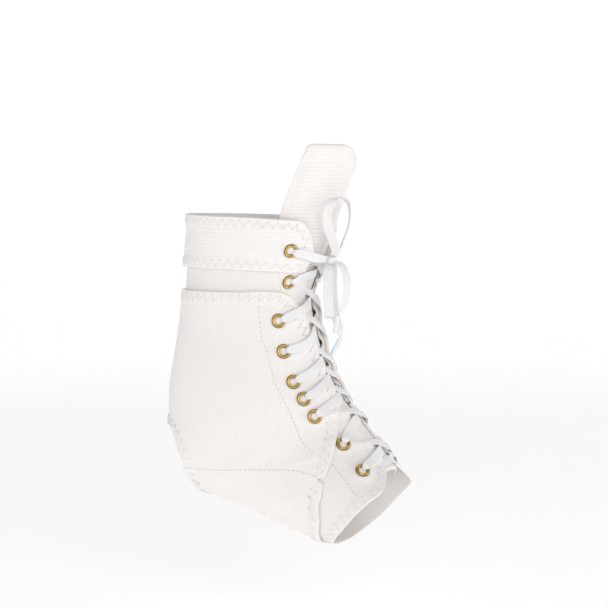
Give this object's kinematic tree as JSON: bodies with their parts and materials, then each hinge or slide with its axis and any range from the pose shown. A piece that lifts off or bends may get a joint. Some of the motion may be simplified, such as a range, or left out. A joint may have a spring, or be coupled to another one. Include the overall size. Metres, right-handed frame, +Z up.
{
  "type": "ankle brace",
  "caption": "Laced ankle brace of white canvas with collar, side panels, sole and forefoot wraps, padded tongue, brass eyelets and a flat lace tied in a bow, open at the leg, heel and toes.",
  "frame": {"origin": "the middle of the hollow at the ankle joint, where the brace is worn", "axes": "+X towards the toes, +Z up the leg, -Y towards the right side, which is the one that the picture shows; the plane Y = 0 runs midway between the two sides"},
  "size_m": [0.155, 0.092, 0.2542],
  "materials": {
    "canvas": "matt cotton twill, off-white",
    "elastic": "matt ribbed elastic, off-white",
    "lining": "smooth matt cloth, off-white",
    "padding": "matt ribbed cloth over thin foam, off-white",
    "braid": "flat woven lace, cool white",
    "brass": "antique brass, bright on the crest and dark in the recess",
    "aglet": "clear tape, glossy"
  },
  "bodies": {
    "root": {"collar": "elastic", "ankle_band": "lining", "right_facing": "canvas", "left_facing": "canvas", "right_side_panel": "canvas", "left_side_panel": "canvas", "sole_wrap": "canvas", "forefoot_wrap": "canvas", "tongue": "padding", "lacing_from_right": "braid", "lacing_from_left": "braid", "knot": "braid", "bow_loop_up": "braid", "bow_loop_down": "braid", "lace_end_one": "braid", "lace_end_two": "braid", "aglet_one": "aglet", "aglet_two": "aglet", "right_eyelet_1": "brass", "right_eyelet_2": "brass", "right_eyelet_3": "brass", "right_eyelet_4": "brass", "right_eyelet_5": "brass", "right_eyelet_6": "brass", "right_eyelet_7": "brass", "right_eyelet_8": "brass", "right_eyelet_9": "brass", "left_eyelet_1": "brass", "left_eyelet_2": "brass", "left_eyelet_3": "brass", "left_eyelet_4": "brass", "left_eyelet_5": "brass", "left_eyelet_6": "brass", "left_eyelet_7": "brass", "left_eyelet_8": "brass", "left_eyelet_9": "brass"}
  },
  "joints": []
}
